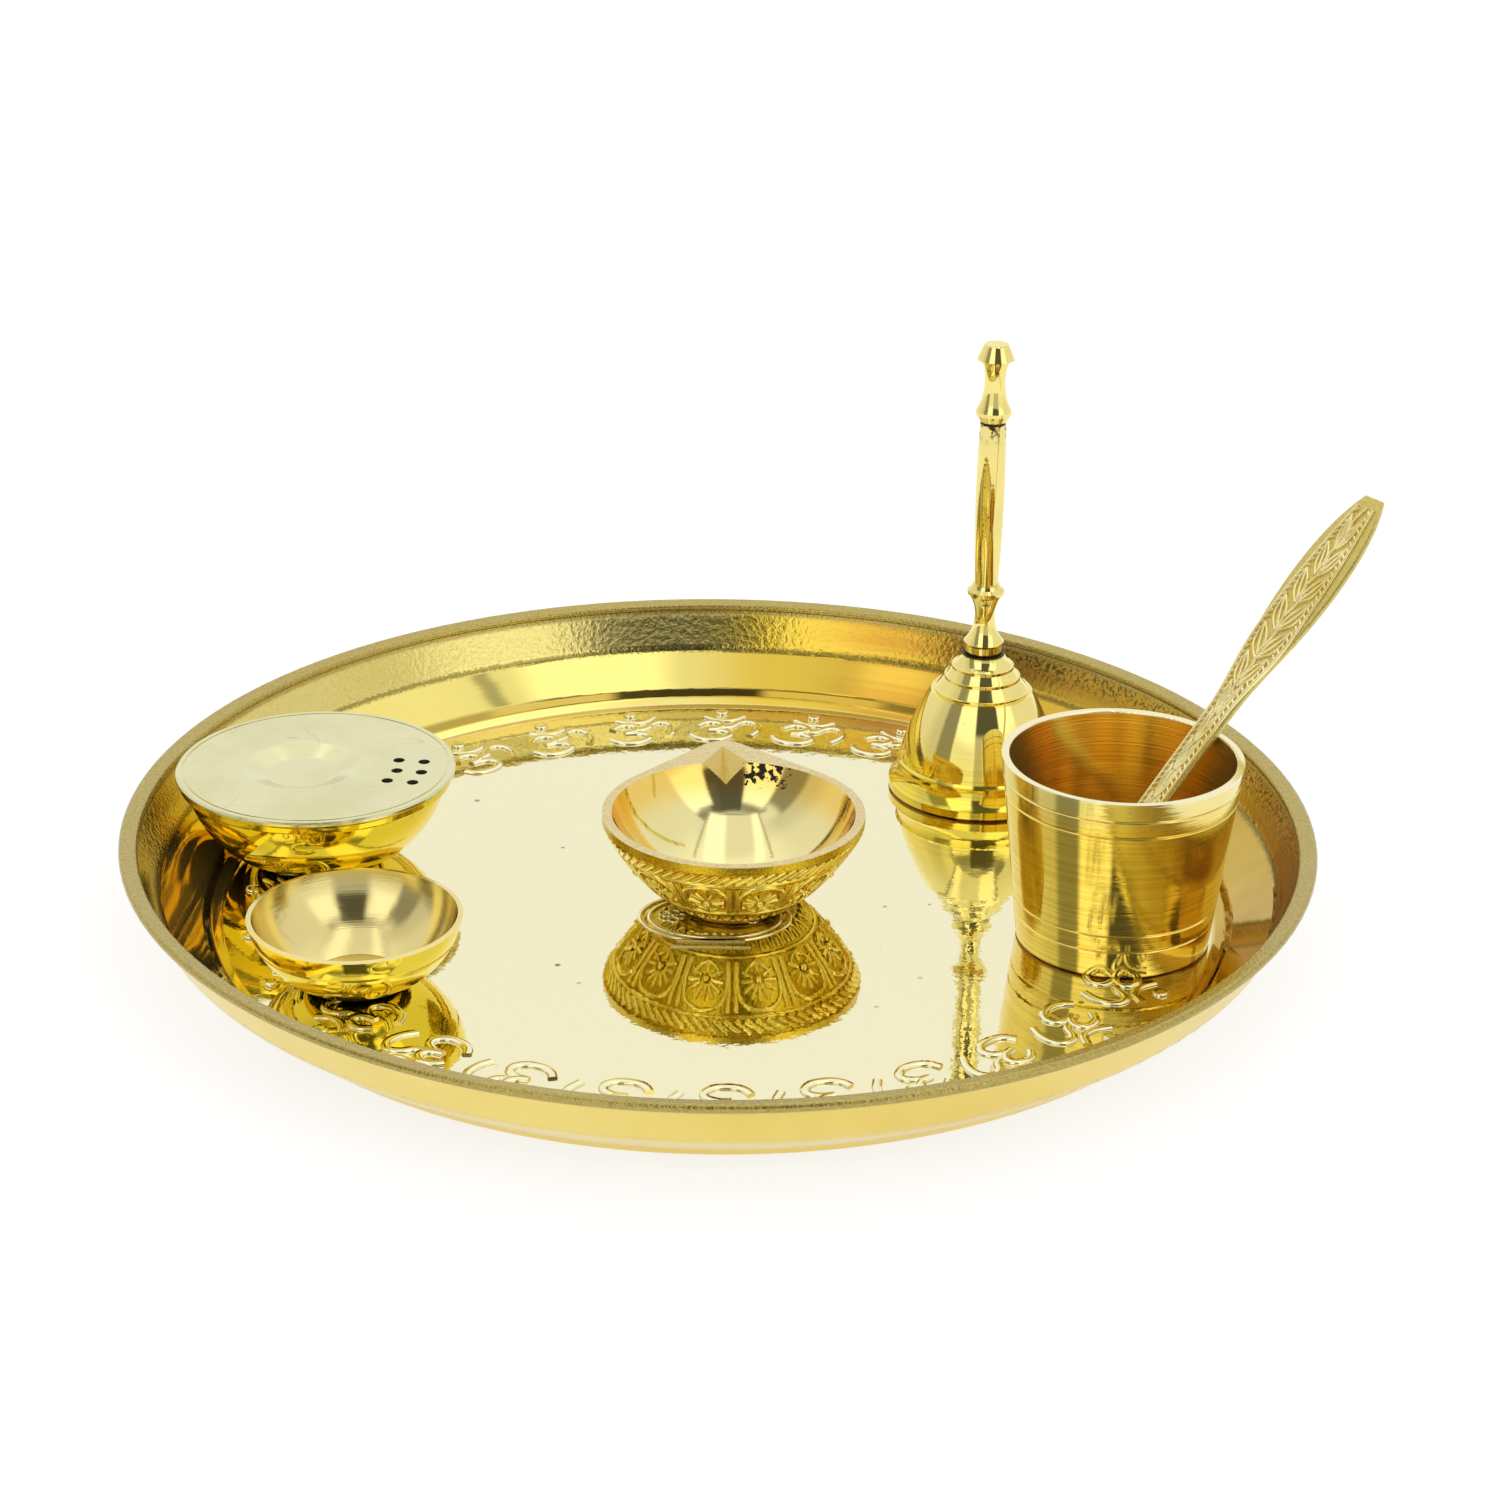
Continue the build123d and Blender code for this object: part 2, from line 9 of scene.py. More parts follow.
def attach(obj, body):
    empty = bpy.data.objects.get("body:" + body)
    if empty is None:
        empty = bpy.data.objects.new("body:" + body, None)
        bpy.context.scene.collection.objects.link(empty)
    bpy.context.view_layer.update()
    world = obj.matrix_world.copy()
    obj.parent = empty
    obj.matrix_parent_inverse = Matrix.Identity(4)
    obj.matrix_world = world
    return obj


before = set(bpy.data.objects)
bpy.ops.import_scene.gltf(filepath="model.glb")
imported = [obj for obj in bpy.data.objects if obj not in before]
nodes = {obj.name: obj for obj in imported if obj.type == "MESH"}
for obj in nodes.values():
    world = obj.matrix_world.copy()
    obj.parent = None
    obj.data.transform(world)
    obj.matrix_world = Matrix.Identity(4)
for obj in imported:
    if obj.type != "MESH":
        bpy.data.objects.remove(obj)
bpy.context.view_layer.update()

MM = 0.001

# Camera of the photograph: place in mm, angles in degrees
camera_place = (0.0, -706.6, 348.7)
camera_pan = 0.573
camera_tilt = 23.646
camera_roll = 0.769
camera_lens = 78.916
sensor_width = 36.0

# Sizes and places of the CAD pieces that the relief and the finishes follow, in mm
floor_top = 1.4
floor_r = 117.4
wall_crease_h = 11.9
toe_r = 120.0
riser_r = 121.6
rim_inner_r = 135.6
rim_low = 20.4
incense_at = (-97.53, 20.20)
katori_at = (-81.62, -44.99)
diya_at = (3.4, -1.6)
diya_top = 24.2
bell_at = (66.40, 65.25)
bell_seat = 38.7
shaft_top = 99.8
cup_at = (92.09, -19.57)
cup_top = 47.4
cup_r = 27.7
cup_wall = 1.8
cup_base_t = 2.0
spoon_seat_angle = 33.0
spoon_bowl_at = (-8.2, -5.2)
spoon_bowl_r = 7.5
spoon_gap = 0.3
spoon_t = 1.6
spoon_len = 118.0
spoon_stem_w = 7.4
spoon_leaf_w = 13.1
spoon_leaf_start = 55.0
spoon_leaf_mid = 78.0
spoon_tip_w = 5.6

# Pressed relief on the floor reaches this far under the floor's surface, in mm
press_foot = -0.3

# Om signs pressed into the floor; each stroke's top is one step under the one before it
om_count = 28
om_first_angle = 88.2
om_foot_r = 92.0
om_stroke = 2.6
om_relief = 0.55
om_sink = 0.35
om_step = 0.04

# Water pot pressed into the middle of the floor
pot_at = (-2.8, -12.0)
pot_stroke = 1.3
pot_relief = 0.35
pot_petal_r = 1.3
pot_petal_ring = 1.9
pot_petal_stroke = 0.6
pot_bead_r = 0.55

# Carving round the diya, laid out flat at this radius and then wrapped
carving_r = 24.0
carving_panels = 12
carving_first_angle = 15.0
carving_relief = 1.2
rope_ridges = 72
rope_stroke = 1.3
arch_stroke = 1.1
petal_stroke = 1.0
petal_count = 9
petal_step = 28
petal_first = -22
flower_height = 10.0
tongue_stroke = 0.7
line_stroke = 0.9
line_heights = (17.1, 5.9)
line_steps = 120
wrap_from = 80.0

# Engraving on the spoon's handle
engraving_relief = 0.7
engraving_start = 13.0
engraving_margin = 3.0
engraving_steps = 22
border_stroke = 0.8
hatch_stroke = 0.7
hatch_pitch = 1.7
leaf_pitch = 8.0

# Studio round the tray: the white paper's own glow, and the levels of the tent's white walls
paper_half = 6.0
paper_base = 0.22
paper_glow = 0.79
tent_level = 0.92
cove_level = 1.0
cove_top_level = 1.1
cove_side_level = 0.9
# Cove behind the tray: where it sets in, where its sides and top change level, and where the roof begins;
# the first two are parts of a unit direction, the others degrees of rise
cove_front = (-0.1, 0.3)
cove_sides = (0.3, 0.7)
cove_top = (26, 42)
cove_roof = (58, 72)
# Roof of the tent: places are across and along over height; two strip lights between two dark seams
roof_rise = (0.6, 0.7)
roof_front = -0.4
roof_back = 0.75
roof_strips = ((0.24, 0.12), (-0.33, 0.05))
roof_strip_level = 1.4
roof_seam = 0.43
roof_seam_spread = 0.11
roof_seam_level = 0.42
# Panels on the camera's side, the later over the earlier: turn to the right and rise, from and to,
# softness of the edge, all in degrees, and level
studio_panels = (
    ((-50, 66), (50, 65), 3, 0.3),
    ((-13, 32), (-20, 28), 3, 0.58),
    ((-13, 32), (25.5, 65), 1.5, 0.07),
    ((20, 38), (38, 63), 2.5, 0.1),
    ((-112, -72), (-20, 62), 8, 0.72),
    ((-76, -47), (-20, 50), 4, 0.3),
    ((-48, -13), (-20, 57), 3, 1.4),
    ((32, 66), (-20, 56), 3, 1.4),
    ((-48, -13), (-20, 21), 3, 1.0),
    ((32, 66), (-20, 21), 3, 1.0),
)
# Two soft boxes: metres and watts
lamp_distance = 1.5
lamp_size = 0.9
lamp_power = 3


def place_camera():
    """Set the camera where the photograph was taken from."""
    data = bpy.data.cameras.new("camera")
    data.lens = camera_lens
    data.sensor_width = sensor_width
    data.clip_start = 0.01
    camera = bpy.data.objects.new("camera", data)
    turn = Matrix.Rotation(math.radians(-camera_pan), 4, "Z")
    tilt = Matrix.Rotation(math.radians(90 - camera_tilt), 4, "X")
    roll = Matrix.Rotation(math.radians(camera_roll), 4, "Z")
    camera.matrix_world = Matrix.Translation(Vector(camera_place) * MM) @ turn @ tilt @ roll
    bpy.context.scene.collection.objects.link(camera)
    bpy.context.scene.camera = camera


# Relief pieces
def rods(strokes, width, closed=False):
    """New bmesh of round rods along smooth strokes, each a list of points in mm."""
    curve = bpy.data.curves.new("strokes", "CURVE")
    curve.dimensions = "3D"
    curve.resolution_u = 4
    curve.bevel_depth = width / 2
    curve.bevel_resolution = 2
    curve.use_fill_caps = True
    for points in strokes:
        spline = curve.splines.new("BEZIER")
        spline.use_cyclic_u = closed
        spline.bezier_points.add(len(points) - 1)
        for knot, point in zip(spline.bezier_points, points):
            knot.co = (*point, 0)
            knot.handle_left_type = "AUTO"
            knot.handle_right_type = "AUTO"
    holder = bpy.data.objects.new("strokes", curve)
    mesh = bpy.data.meshes.new_from_object(holder)
    bm = bmesh.new()
    bm.from_mesh(mesh)
    bpy.data.objects.remove(holder)
    bpy.data.curves.remove(curve)
    bpy.data.meshes.remove(mesh)
    return bm


def join(target, *others):
    """Move the faces of other bmeshes into the first one."""
    for other in others:
        mesh = bpy.data.meshes.new("joined")
        other.to_mesh(mesh)
        other.free()
        target.from_mesh(mesh)
        bpy.data.meshes.remove(mesh)
    return target


def beads(centres, radius):
    """New bmesh of small round beads."""
    bm = bmesh.new()
    for centre in centres:
        place = Matrix.Translation((*centre, 0))
        bmesh.ops.create_icosphere(bm, subdivisions=2, radius=radius, matrix=place)
    return bm


def oval(width, height, centre=(0, 0), count=16):
    """Points round an oval of these half widths, in mm."""
    turns = [2 * math.pi * k / count for k in range(count)]
    return [(centre[0] + width * math.cos(a), centre[1] + height * math.sin(a)) for a in turns]


def repeat(bm, count, pitch):
    """Copy a flat motif along x, count times in all."""
    motif = bm.faces[:]
    for k in range(1, count):
        copy = bmesh.ops.duplicate(bm, geom=motif)
        moved = [item for item in copy["geom"] if isinstance(item, bmesh.types.BMVert)]
        bmesh.ops.translate(bm, vec=(k * pitch, 0, 0), verts=moved)
    return bm


def flatten(bm, relief, width):
    """Scale rods of this width so that they stand out by the relief."""
    bmesh.ops.scale(bm, vec=(1, 1, 2 * relief / width), verts=bm.verts)


def press(bm, relief):
    """Cut rods to a flat top at the relief, and to a flat foot just below the surface they stand on."""
    for vert in bm.verts:
        vert.co.z = max(press_foot, min(relief, vert.co.z))


def finish_piece(name, bm, body, material):
    """Make an object of a bmesh in mm, smooth it and set it on its body."""
    bmesh.ops.scale(bm, vec=(MM, MM, MM), verts=bm.verts)
    bmesh.ops.recalc_face_normals(bm, faces=bm.faces)
    for face in bm.faces:
        face.smooth = True
    mesh = bpy.data.meshes.new(name)
    bm.to_mesh(mesh)
    bm.free()
    mesh.materials.append(material)
    piece = bpy.data.objects.new(name, mesh)
    bpy.context.scene.collection.objects.link(piece)
    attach(piece, body)


def om_ring(material):
    """Om signs round the floor, tops towards the rim."""
    upper = [(-9.3, 9.8), (-7.4, 12.0), (-4.6, 12.4), (-2.6, 10.6), (-3.4, 8.4), (-6.2, 7.2)]
    lower = [(-6.2, 7.2), (-2.8, 7.0), (-0.4, 5.0), (-1.4, 2.2), (-5.2, 0.9), (-8.6, 1.8), (-10.4, 4.0)]
    tail = [(-2.9, 8.8), (-0.2, 9.6), (1.6, 12.2), (4.2, 13.4), (6.6, 11.4), (6.6, 7.4), (4.8, 3.8)]
    crescent = [(-7.2, 16.2), (-3.4, 14.0), (0.2, 14.3), (2.8, 17.0)]
    dot = (-3.0, 19.2)
    strokes = [rods([points], om_stroke) for points in (upper, lower, tail, crescent)]
    bead = beads([dot], 0.75 * om_stroke)
    for k, stroke in enumerate(strokes):
        bmesh.ops.translate(stroke, vec=(0, 0, -om_sink), verts=stroke.verts)
        press(stroke, om_relief - om_step * k)
    bmesh.ops.translate(bead, vec=(0, 0, -om_sink), verts=bead.verts)
    press(bead, om_relief)
    bm = join(bead, *strokes)
    bmesh.ops.translate(bm, vec=(0, om_foot_r, floor_top), verts=bm.verts)
    first = Matrix.Rotation(math.radians(om_first_angle - 90), 3, "Z")
    bmesh.ops.rotate(bm, cent=(0, 0, 0), matrix=first, verts=bm.verts)
    step = 2 * math.pi / om_count
    bmesh.ops.spin(
        bm, geom=bm.faces[:], cent=(0, 0, 0), axis=(0, 0, 1),
        angle=step * (om_count - 1), steps=om_count - 1, use_duplicate=True,
    )
    finish_piece("om_ring", bm, "thali", material)


def water_pot(material):
    """The pressed water pot, with its base to the front, that the diya stands on."""
    belly = rods([oval(17.6, 12.4, (2.0, 0)), oval(15.4, 10.6, (2.0, 0))], pot_stroke, closed=True)
    bars = [[(-6.8, -12.4), (9.1, -12.4)], [(-8.2, -15.4), (10.4, -15.4)]]
    neck = [[(-6.0, 13.4), (-5.0, 16.4)], [(6.0, 13.4), (5.0, 16.4)], [(-7.4, 16.6), (7.4, 16.6)]]
    leaves = [[(0.8 * k, 16.8), (3.4 * k - 1, 20.6), (4.6 * k, 24.0)] for k in (-2, -1, 1, 2)]
    lines = rods([*bars, *neck, *leaves], pot_stroke)
    nut = rods([oval(4.4, 6.0, (0, 22.6))], pot_stroke, closed=True)
    flowers = []
    for middle in (-8.2, 10.2):
        petals = []
        for a in (0, 1.26, 2.51, 3.77, 5.03):
            centre = (middle + pot_petal_ring * math.cos(a), 0.4 + pot_petal_ring * math.sin(a))
            petals.append(oval(pot_petal_r, pot_petal_r, centre, 6))
        flowers.append(rods(petals, pot_petal_stroke, closed=True))
    row = beads([(x, -8.6) for x in range(-8, 9, 2)], pot_bead_r)
    bm = join(belly, lines, nut, *flowers, row)
    press(bm, pot_relief)
    bmesh.ops.translate(bm, vec=(*pot_at, floor_top), verts=bm.verts)
    finish_piece("water_pot", bm, "thali", material)


def seat_on_diya(bm):
    """Wrap flat carving round the diya: x is the way round, y the height over the floor, z outwards."""
    surface = bmesh.new()
    surface.from_mesh(nodes["diya"].data)
    tree = BVHTree.FromBMesh(surface)
    surface.free()
    for vert in bm.verts:
        turn = vert.co.x / carving_r + math.radians(carving_first_angle)
        out = Vector((math.cos(turn), math.sin(turn), 0))
        start = Vector((*diya_at, floor_top + vert.co.y)) + wrap_from * out
        hit, normal, _, _ = tree.ray_cast(start * MM, -out)
        vert.co = hit / MM + normal * vert.co.z
    return bm


def diya_carving(material):
    """Rope band, arches with flowers, pillars and a row of petals round the diya."""
    way_round = 2 * math.pi * carving_r
    pitch = way_round / rope_ridges
    ridge = rods([[(-0.7 * pitch, 17.8), (0, 19.1), (0.7 * pitch, 20.4)]], rope_stroke)
    flatten(ridge, 0.8 * carving_relief, rope_stroke)
    rope = repeat(ridge, rope_ridges, pitch)

    pitch = way_round / carving_panels
    side = pitch / 2
    arch = [(-4.9, 6.8), (-5.0, 11.6), (-3.8, 14.6), (0, 16.0), (3.8, 14.6), (5.0, 11.6), (4.9, 6.8)]
    pillars = [[(side + x, 6.8), (side + 0.8 * x, 12.0), (side + x, 16.2)] for x in (-0.9, 0.9)]
    stem = [[(0, 6.6), (0, 8.6)], [(0, 6.8), (-2.2, 7.8), (-3.2, 9.4)], [(0, 6.8), (2.2, 7.8), (3.2, 9.4)]]
    petals = []
    for k in range(petal_count):
        a = math.radians(petal_step * k + petal_first)
        petals.append([(r * math.cos(a), flower_height + r * math.sin(a)) for r in (1.4, 2.8, 4.2)])
    middle = beads([(0, flower_height)], 1.0)
    panel = join(rods([arch, *pillars, *stem], arch_stroke), rods(petals, petal_stroke), middle)
    flatten(panel, 0.8 * carving_relief, 1.2)
    panels = repeat(panel, carving_panels, pitch)

    edge = [(-1.7, 5.2), (-1.4, 3.2), (0, 2.4), (1.4, 3.2), (1.7, 5.2)]
    tongue = rods([edge, [(0, 5.0), (0, 3.6)]], tongue_stroke)
    flatten(tongue, 0.6 * carving_relief, tongue_stroke)
    tongues = repeat(tongue, 3 * carving_panels, pitch / 3)

    runs = [way_round * k / line_steps for k in range(line_steps + 1)]
    lines = rods([[(x, height) for x in runs] for height in line_heights], line_stroke)
    flatten(lines, 0.7 * carving_relief, line_stroke)
    bm = seat_on_diya(join(rope, panels, tongues, lines))
    finish_piece("diya_carving", bm, "diya", material)


def spoon_half_width(along):
    """Half the width of the handle at a place along it, in mm."""
    stem = spoon_stem_w / 2
    leaf = spoon_leaf_w / 2
    if along < spoon_leaf_start:
        return stem
    if along < spoon_leaf_mid:
        rise = (along - spoon_leaf_start) / (spoon_leaf_mid - spoon_leaf_start)
        return stem + (leaf - stem) * rise * rise * (3 - 2 * rise)
    fall = (along - spoon_leaf_mid) / (spoon_len - spoon_leaf_mid)
    return leaf - (leaf - spoon_tip_w / 2) * fall**2


def spoon_place():
    """Matrix of the handle's face: x along the handle, y across it, z out of the face, in mm."""
    seat_r = cup_r - cup_wall
    turn = math.radians(spoon_seat_angle)
    seat = Vector((cup_at[0] + seat_r * math.cos(turn), cup_at[1] + seat_r * math.sin(turn), cup_top))
    foot_z = floor_top + cup_base_t + spoon_bowl_r
    foot = Vector((cup_at[0] + spoon_bowl_at[0], cup_at[1] + spoon_bowl_at[1], foot_z))
    along = (seat - foot).normalized()
    across = Vector((0, 0, 1)).cross(along).normalized()
    face = along.cross(across)
    place = Matrix((along, across, face)).transposed().to_4x4()
    place.translation = foot + face * (spoon_gap + spoon_t)
    return place


def spoon_engraving(material):
    """Borders, hatching, a middle vein and pairs of veined leaves along the handle's face."""
    first = engraving_start
    last = spoon_len - engraving_margin
    runs = [first + (last - first) * k / engraving_steps for k in range(engraving_steps + 1)]
    edges = [[(x, side * (spoon_half_width(x) - 0.9)) for x in runs] for side in (-1, 1)]
    vein = [(x, 0.5 * math.sin(0.7 * x)) for x in runs]
    hatching = []
    x = first
    while x < last:
        for side in (-1, 1):
            out = spoon_half_width(x) - 1.1
            hatching.append([(x, side * out), (x + 0.9, side * (out - 1.0))])
        x += hatch_pitch
    leaves = []
    x = first + 2
    while x < last - leaf_pitch:
        for side in (-1, 1):
            out = spoon_half_width(x + 6) - 2.2
            tip = (x + 9.0, side * out)
            leaves.append([(x, side * 0.3), (x + 3.4, side * 0.85 * out), tip])
            leaves.append([(x, side * 0.3), (x + 5.4, side * 0.25 * out), tip])
            leaves.append([(x + 1.0, side * 0.4), (x + 4.4, side * 0.55 * out), tip])
        x += leaf_pitch
    bm = join(rods([*edges, vein], border_stroke), rods(hatching, hatch_stroke), rods(leaves, hatch_stroke))
    flatten(bm, engraving_relief, border_stroke)
    bmesh.ops.transform(bm, matrix=spoon_place(), verts=bm.verts)
    finish_piece("spoon_engraving", bm, "spoon", material)


# Node helpers
def put(socket, value):
    """Link an output to a socket, or set the socket's own value."""
    if isinstance(value, bpy.types.NodeSocket):
        socket.id_data.links.new(value, socket)
    else:
        socket.default_value = value


def sums(tree, operation, a, b=0.0):
    """Math node."""
    node = tree.nodes.new("ShaderNodeMath")
    node.operation = operation
    put(node.inputs[0], a)
    put(node.inputs[1], b)
    return node.outputs[0]


def plus(tree, first, *others):
    """Sum of values."""
    for other in others:
        first = sums(tree, "ADD", first, other)
    return first


def minus(tree, a, b):
    """Difference of two values."""
    return sums(tree, "SUBTRACT", a, b)


def times(tree, first, *others):
    """Product of values, or the part that masks share."""
    for other in others:
        first = sums(tree, "MULTIPLY", first, other)
    return first


def most(tree, first, *others):
    """Largest of values, or masks laid together."""
    for other in others:
        first = sums(tree, "MAXIMUM", first, other)
    return first


def rest_of(tree, mask):
    """All that a mask leaves out."""
    return minus(tree, 1.0, mask)


def off_from(tree, value, place):
    """How far a value is off from a place, to either side."""
    return sums(tree, "ABSOLUTE", minus(tree, value, place))


def band(tree, value, low, high, start=0.0, end=1.0):
    """Smooth step of a value, from start at low to end at high."""
    node = tree.nodes.new("ShaderNodeMapRange")
    node.interpolation_type = "SMOOTHSTEP"
    put(node.inputs["Value"], value)
    put(node.inputs["From Min"], low)
    put(node.inputs["From Max"], high)
    put(node.inputs["To Min"], start)
    put(node.inputs["To Max"], end)
    return node.outputs["Result"]


def fade(tree, value, low, high):
    """Smooth step that is 1 up to low and 0 from high on."""
    return band(tree, value, low, high, 1.0, 0.0)


def above(tree, value, low, high):
    """Mask that sets in from low to high, in mm."""
    return band(tree, value, low * MM, high * MM)


def under(tree, value, low, high):
    """Mask that ends from low to high, in mm."""
    return fade(tree, value, low * MM, high * MM)


def blend(tree, factor, a, b):
    """Colour mixed from a to b."""
    node = tree.nodes.new("ShaderNodeMix")
    node.data_type = "RGBA"
    put(node.inputs["Factor"], factor)
    put(node.inputs["A"], (*a, 1) if isinstance(a, tuple) else a)
    put(node.inputs["B"], (*b, 1) if isinstance(b, tuple) else b)
    return node.outputs["Result"]


def blend_value(tree, factor, a, b):
    """Number mixed from a to b."""
    node = tree.nodes.new("ShaderNodeMix")
    put(node.inputs["Factor"], factor)
    put(node.inputs["A"], a)
    put(node.inputs["B"], b)
    return node.outputs["Result"]


def noise(tree, vector, scale, detail):
    """Noise over a vector in metres."""
    node = tree.nodes.new("ShaderNodeTexNoise")
    put(node.inputs["Vector"], vector)
    put(node.inputs["Scale"], scale)
    put(node.inputs["Detail"], detail)
    return node.outputs["Fac"]


def vector_of(tree, x, y, z):
    """Vector put together from three values."""
    node = tree.nodes.new("ShaderNodeCombineXYZ")
    put(node.inputs[0], x)
    put(node.inputs[1], y)
    put(node.inputs[2], z)
    return node.outputs[0]


def parts_of(tree, vector):
    """The three values of a vector."""
    node = tree.nodes.new("ShaderNodeSeparateXYZ")
    put(node.inputs[0], vector)
    return node.outputs


def place_on_piece(tree):
    """Object coordinates, in metres."""
    return tree.nodes.new("ShaderNodeTexCoord").outputs["Object"]


def facing_of(tree):
    """Which way the surface faces."""
    return parts_of(tree, tree.nodes.new("ShaderNodeNewGeometry").outputs["Normal"])


# Shared effects
def new_group(name, inputs, outputs):
    """Shader node group with number inputs (name, default) and number outputs."""
    tree = bpy.data.node_groups.new(name, "ShaderNodeTree")
    for label, start in inputs:
        socket = tree.interface.new_socket(label, in_out="INPUT", socket_type="NodeSocketFloat")
        socket.default_value = start
    for label in outputs:
        tree.interface.new_socket(label, in_out="OUTPUT", socket_type="NodeSocketFloat")
    return tree, tree.nodes.new("NodeGroupInput").outputs, tree.nodes.new("NodeGroupOutput").inputs


def turned_group():
    """Place about an upright axis, and the fine rings that a lathe leaves round it."""
    rings_per_metre = 3000.0
    wander = 0.35
    inputs = [("Axis X", 0), ("Axis Y", 0), ("Fineness", 1)]
    tree, given, out = new_group("turned", inputs, ("Radius", "Height", "Rings"))
    x, y, z = parts_of(tree, place_on_piece(tree))
    dx = minus(tree, x, given["Axis X"])
    dy = minus(tree, y, given["Axis Y"])
    radius = sums(tree, "SQRT", plus(tree, times(tree, dx, dx), times(tree, dy, dy)))
    put(out["Radius"], radius)
    put(out["Height"], z)
    fine = times(tree, given["Fineness"], rings_per_metre)
    turn = times(tree, sums(tree, "ARCTAN2", dy, dx), wander)
    unrolled = vector_of(tree, times(tree, radius, fine), times(tree, z, fine), turn)
    put(out["Rings"], noise(tree, unrolled, 1.0, 2.0))
    return tree


def marks_group():
    """Fine curved rubbing marks, and small dark specks."""
    stretch_x, stretch_y = 0.35, 0.3
    line_width = 0.006
    inputs = [("Scale", 60), ("Speck Scale", 260)]
    tree, given, out = new_group("marks", inputs, ("Scratches", "Specks"))
    place = place_on_piece(tree)
    x, y, z = parts_of(tree, place)
    long_way = vector_of(tree, times(tree, x, stretch_x), y, z)
    across = vector_of(tree, x, times(tree, y, stretch_y), z)
    first = off_from(tree, noise(tree, long_way, given["Scale"], 1.0), 0.5)
    second = off_from(tree, noise(tree, across, given["Scale"], 1.0), 0.46)
    thin = sums(tree, "MINIMUM", first, second)
    broken = band(tree, noise(tree, place, 45.0, 2.0), 0.48, 0.62)
    put(out["Scratches"], times(tree, fade(tree, thin, 0.0, line_width), broken))
    cells = tree.nodes.new("ShaderNodeTexVoronoi")
    put(cells.inputs["Vector"], place)
    put(cells.inputs["Scale"], given["Speck Scale"])
    rare = band(tree, noise(tree, place, 70.0, 1.0), 0.62, 0.7)
    put(out["Specks"], times(tree, fade(tree, cells.outputs["Distance"], 0.08, 0.16), rare))
    return tree


def grain_group():
    """Cast grain, and the broad clouds of tarnish."""
    inputs = [("Grain Scale", 900), ("Cloud Scale", 40)]
    tree, given, out = new_group("grain", inputs, ("Grain", "Clouds"))
    place = place_on_piece(tree)
    put(out["Grain"], noise(tree, place, given["Grain Scale"], 4.0))
    put(out["Clouds"], band(tree, noise(tree, place, given["Cloud Scale"], 5.0), 0.4, 0.7))
    return tree


turned = turned_group()
marks = marks_group()
grain = grain_group()


def use(tree, group, **values):
    """Place a shared effect in a material and give back its outputs."""
    node = tree.nodes.new("ShaderNodeGroup")
    node.node_tree = group
    for label, value in values.items():
        put(node.inputs[label.replace("_", " ")], value)
    return node.outputs


def about(tree, centre, fineness=1.0):
    """The turned effect about a piece's axis in mm."""
    return use(tree, turned, Axis_X=centre[0] * MM, Axis_Y=centre[1] * MM, Fineness=fineness)


def new_metal(name):
    """Empty brass material: its tree and its shader."""
    material = bpy.data.materials.new(name)
    material.use_nodes = True
    shader = material.node_tree.nodes["Principled BSDF"]
    shader.inputs["Metallic"].default_value = 0.95
    return material, material.node_tree, shader


def bump(tree, shader, height, depth):
    """Feed a height of 0 to 1 and its depth in mm to the shader's normal."""
    node = tree.nodes.new("ShaderNodeBump")
    node.inputs["Strength"].default_value = 1.0
    node.inputs["Distance"].default_value = depth * MM
    put(node.inputs["Height"], height)
    put(shader.inputs["Normal"], node.outputs["Normal"])


def ragged_height(tree, height, grains, reach):
    """Height made uneven by the grain, over a reach in mm, for seams with a ragged edge."""
    return plus(tree, height, times(tree, minus(tree, grains, 0.5), reach * MM))


# Colour of the painted contact shadow at the feet of the pieces
contact_shadow_brown = (0.26, 0.12, 0.02)


def with_contact_shadow(tree, colour, height):
    """Colour with a painted contact shadow where a piece stands on the floor."""
    return blend(tree, under(tree, height, floor_top + 0.3, floor_top + 1.0), colour, contact_shadow_brown)


